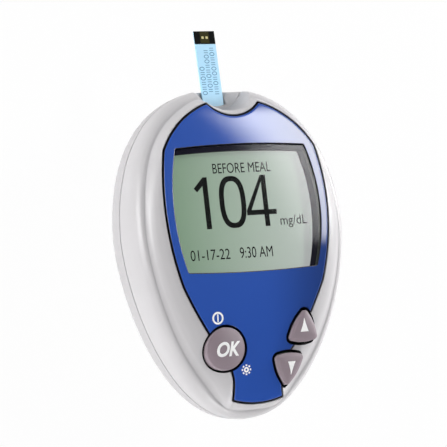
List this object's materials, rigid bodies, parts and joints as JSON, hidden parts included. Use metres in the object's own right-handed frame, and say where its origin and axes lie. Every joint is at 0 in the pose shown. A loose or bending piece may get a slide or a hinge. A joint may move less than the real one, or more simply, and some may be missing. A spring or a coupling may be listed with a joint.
{
  "type": "blood glucose meter",
  "caption": "Egg-shaped handheld blood glucose meter with a crowned face, a wide display, a round key, two arrow keys and a test strip in its end port.",
  "frame": {"origin": "middle of the whole outline, strip included, on the plane that the back rests on", "axes": "+Z out of the display, +Y towards the strip port, +X to the right side seen from the front"},
  "size_m": [0.0566, 0.0936, 0.0213],
  "materials": {
    "casing_front": "satin white moulded plastic",
    "casing_back": "satin white moulded plastic",
    "panel_blue": "glossy blue lacquered plastic",
    "clear_window": "polished clear plastic",
    "bezel_dark": "matte dark violet plastic",
    "display": "reflective liquid crystal glass, grey green",
    "light_guide": "polished white plastic",
    "rubber_dark": "matte moulded rubber",
    "board_green": "solder-masked board",
    "black_plastic": "matte black plastic",
    "led_amber": "clear resin",
    "key_grey": "matte mauve grey soft-touch key",
    "spring_steel": "bright spring steel",
    "contact_gold": "gold-plated spring bronze",
    "strip_blue": "printed pale blue plastic strip",
    "tray_grey": "matte dark grey plastic",
    "cell_steel": "nickel-plated steel can",
    "label_white": "bare matte label",
    "screw_steel": "zinc-plated steel"
  },
  "bodies": {
    "meter": {"front_case": "casing_front", "rear_case": "casing_back", "face_panel": "panel_blue", "display_window": "clear_window", "display_bezel": "bezel_dark", "lcd_glass": "display", "backlight_guide": "light_guide", "lcd_connector": "rubber_dark", "circuit_board": "board_green", "processor_chip": "black_plastic", "backlight_led_left": "led_amber", "backlight_led_right": "led_amber", "ok_dome": "spring_steel", "up_dome": "spring_steel", "down_dome": "spring_steel", "keypad_membrane": "rubber_dark", "strip_port": "black_plastic", "strip_contact_left": "contact_gold", "strip_contact_middle": "contact_gold", "strip_contact_right": "contact_gold", "data_jack": "black_plastic", "battery_tray": "tray_grey", "battery_cell_left": "cell_steel", "negative_contact_left": "spring_steel", "positive_contact_left": "spring_steel", "battery_cell_right": "cell_steel", "negative_contact_right": "spring_steel", "positive_contact_right": "spring_steel", "rear_label": "label_white", "case_screw_1": "screw_steel", "case_screw_2": "screw_steel", "case_screw_3": "screw_steel", "case_screw_4": "screw_steel"},
    "ok_key": {"ok_button": "key_grey"},
    "up_key": {"up_button": "key_grey"},
    "down_key": {"down_button": "key_grey"},
    "strip": {"test_strip": "strip_blue"},
    "door": {"battery_door": "casing_back"}
  },
  "joints": [
    {"name": "ok_press", "type": "slide", "parent": "meter", "child": "ok_key", "axis": [0, 0, -1], "range_m": [0, 0.0006], "stiffness_N_per_m": 800, "deforming": ["ok_dome"]},
    {"name": "up_press", "type": "slide", "parent": "meter", "child": "up_key", "axis": [0, 0, -1], "range_m": [0, 0.0006], "stiffness_N_per_m": 800, "deforming": ["up_dome"]},
    {"name": "down_press", "type": "slide", "parent": "meter", "child": "down_key", "axis": [0, 0, -1], "range_m": [0, 0.0006], "stiffness_N_per_m": 800, "deforming": ["down_dome"]},
    {"name": "strip_pull", "type": "slide", "parent": "meter", "child": "strip", "axis": [0, 0.9932, -0.1167], "range_m": [0, 0.013]},
    {"name": "battery_door_hinge", "type": "hinge", "parent": "meter", "child": "door", "pos_m": [0, 0.00571, 0.0002], "axis": [1, 0, 0], "range_deg": [0, 60]}
  ]
}
